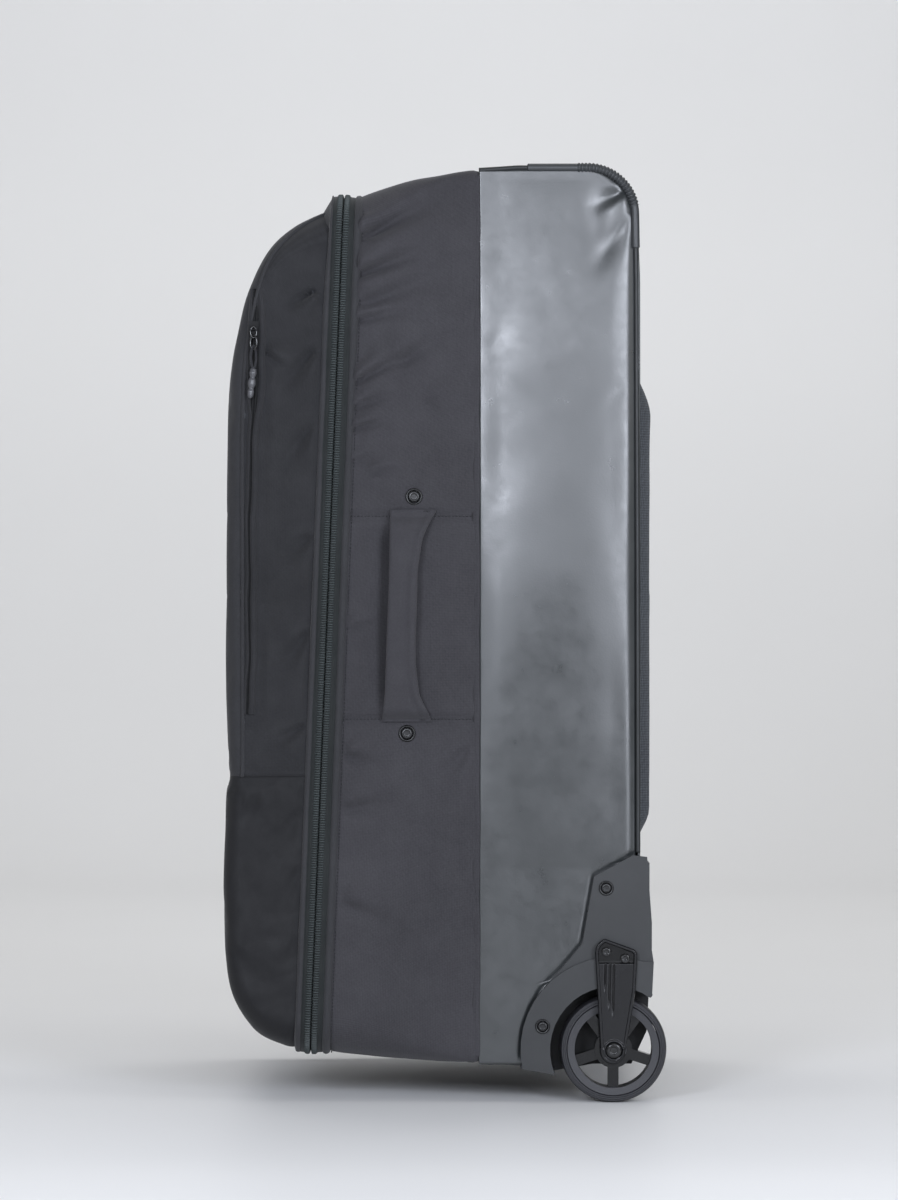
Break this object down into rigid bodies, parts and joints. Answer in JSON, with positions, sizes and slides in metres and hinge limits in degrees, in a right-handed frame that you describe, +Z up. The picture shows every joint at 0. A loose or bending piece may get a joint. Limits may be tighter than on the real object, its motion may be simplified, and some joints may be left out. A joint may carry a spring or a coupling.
{
  "type": "wheeled ski travel bag",
  "caption": "Upright wheeled gear bag for ski and snowboard travel, with a zipped book-opening front lid, side carry handle and moulded wheel chassis.",
  "frame": {"origin": "bottom centre of the bag's bounding box, on the plane its wheels stand on", "axes": "+X the side with the carry handle, +Y the back with the wheels, +Z up"},
  "size_m": [0.4086, 0.3749, 0.807],
  "materials": {
    "woven": "matt polyester twill, dark grey",
    "nylon": "smooth nylon, near black",
    "tarp": "PVC-coated tarpaulin, satin grey",
    "foam": "foam pad under stretch fabric",
    "lining": "plain lining",
    "zip": "woven zip tape",
    "webbing": "ribbed webbing",
    "plastic": "textured moulding",
    "board": "plain sheet",
    "gloss_plastic": "smooth moulding",
    "rubber": "soft matt moulding",
    "tyre": "matt urethane tread",
    "metal": "black-coated metal",
    "steel": "ground steel"
  },
  "bodies": {
    "bag": {"gusset_right": "woven", "tarp_side_right": "tarp", "frame_rod_right": "plastic", "corner_guard_right": "rubber", "wheel_housing_right": "plastic", "housing_rivet_upper_right": "gloss_plastic", "housing_rivet_lower_right": "gloss_plastic", "wheel_bracket_right": "plastic", "bracket_screw_front_right": "metal", "bracket_screw_rear_right": "metal", "axle_bolt_right": "metal", "handle_anchor_right": "plastic", "gusset_left": "woven", "tarp_side_left": "tarp", "frame_rod_left": "plastic", "corner_guard_left": "rubber", "wheel_housing_left": "plastic", "housing_rivet_upper_left": "gloss_plastic", "housing_rivet_lower_left": "gloss_plastic", "wheel_bracket_left": "plastic", "bracket_screw_front_left": "metal", "bracket_screw_rear_left": "metal", "axle_bolt_left": "metal", "handle_anchor_left": "plastic", "top_panel_front": "woven", "bottom_panel": "woven", "top_panel_rear": "tarp", "base_board": "board", "back_panel": "tarp", "back_plate": "board", "back_pad": "foam", "carry_handle": "woven", "handle_rivet_upper": "metal", "handle_rivet_lower": "metal", "rear_chassis": "plastic", "compression_strap": "webbing", "lid_hinge_strip": "webbing", "strap_buckle": "gloss_plastic", "zip_tape_body": "zip", "zip_chain_body": "gloss_plastic"},
    "lid": {"lid_side_right": "woven", "lid_side_left": "woven", "lid_front_panel": "woven", "lid_lower_panel": "nylon", "lid_divider": "lining", "zip_tape_lid": "zip", "zip_chain_lid": "gloss_plastic"},
    "pocket_slider": {"pocket_slider": "metal"},
    "pocket_pull": {"pocket_pull": "rubber"},
    "pull_handle": {"pull_handle": "rubber"},
    "wheel_right": {"tyre_right": "tyre", "rim_right": "gloss_plastic", "bearing_set_right": "steel"},
    "main_slider_right": {"main_slider_right": "metal"},
    "main_puller_right": {"main_puller_right": "metal"},
    "wheel_left": {"tyre_left": "tyre", "rim_left": "gloss_plastic", "bearing_set_left": "steel"},
    "main_slider_left": {"main_slider_left": "metal"},
    "main_puller_left": {"main_puller_left": "metal"}
  },
  "joints": [
    {"name": "lid_hinge", "type": "hinge", "parent": "bag", "child": "lid", "pos_m": [-0.1915, -0.1022, 0.4065], "axis": [0, -0.0392, -0.9992], "range_deg": [0, 165], "deforming": ["lid_hinge_strip"]},
    {"name": "pocket_zip", "type": "slide", "parent": "lid", "child": "pocket_slider", "axis": [0, -0.0182, -0.9998], "range_m": [0, 0.315]},
    {"name": "pocket_pull_hinge", "type": "hinge", "parent": "pocket_slider", "child": "pocket_pull", "pos_m": [0.1953, -0.1642, 0.657], "axis": [0, -1, 0], "range_deg": [0, 150]},
    {"name": "pull_handle_hinge", "type": "hinge", "parent": "bag", "child": "pull_handle", "pos_m": [0, 0.094, 0.8025], "axis": [-1, 0, 0], "range_deg": [0, 100]},
    {"name": "wheel_right_spin", "type": "hinge", "parent": "bag", "child": "wheel_right", "pos_m": [0.179, 0.1414, 0.0455], "axis": [1, 0, 0], "continuous": true},
    {"name": "zip_right", "type": "slide", "parent": "bag", "child": "main_slider_right", "axis": [1, 0, 0], "range_m": [0, 0.14]},
    {"name": "main_puller_right_hinge", "type": "hinge", "parent": "main_slider_right", "child": "main_puller_right", "pos_m": [0.01, -0.08756, 0.77991], "axis": [0, -0.9992, 0.0392], "range_deg": [0, 95]},
    {"name": "wheel_left_spin", "type": "hinge", "parent": "bag", "child": "wheel_left", "pos_m": [-0.179, 0.1414, 0.0455], "axis": [1, 0, 0], "continuous": true},
    {"name": "zip_left", "type": "slide", "parent": "bag", "child": "main_slider_left", "axis": [-1, 0, 0], "range_m": [0, 0.11]},
    {"name": "main_puller_left_hinge", "type": "hinge", "parent": "main_slider_left", "child": "main_puller_left", "pos_m": [-0.01, -0.08756, 0.77991], "axis": [0, 0.9992, -0.0392], "range_deg": [0, 95]}
  ]
}
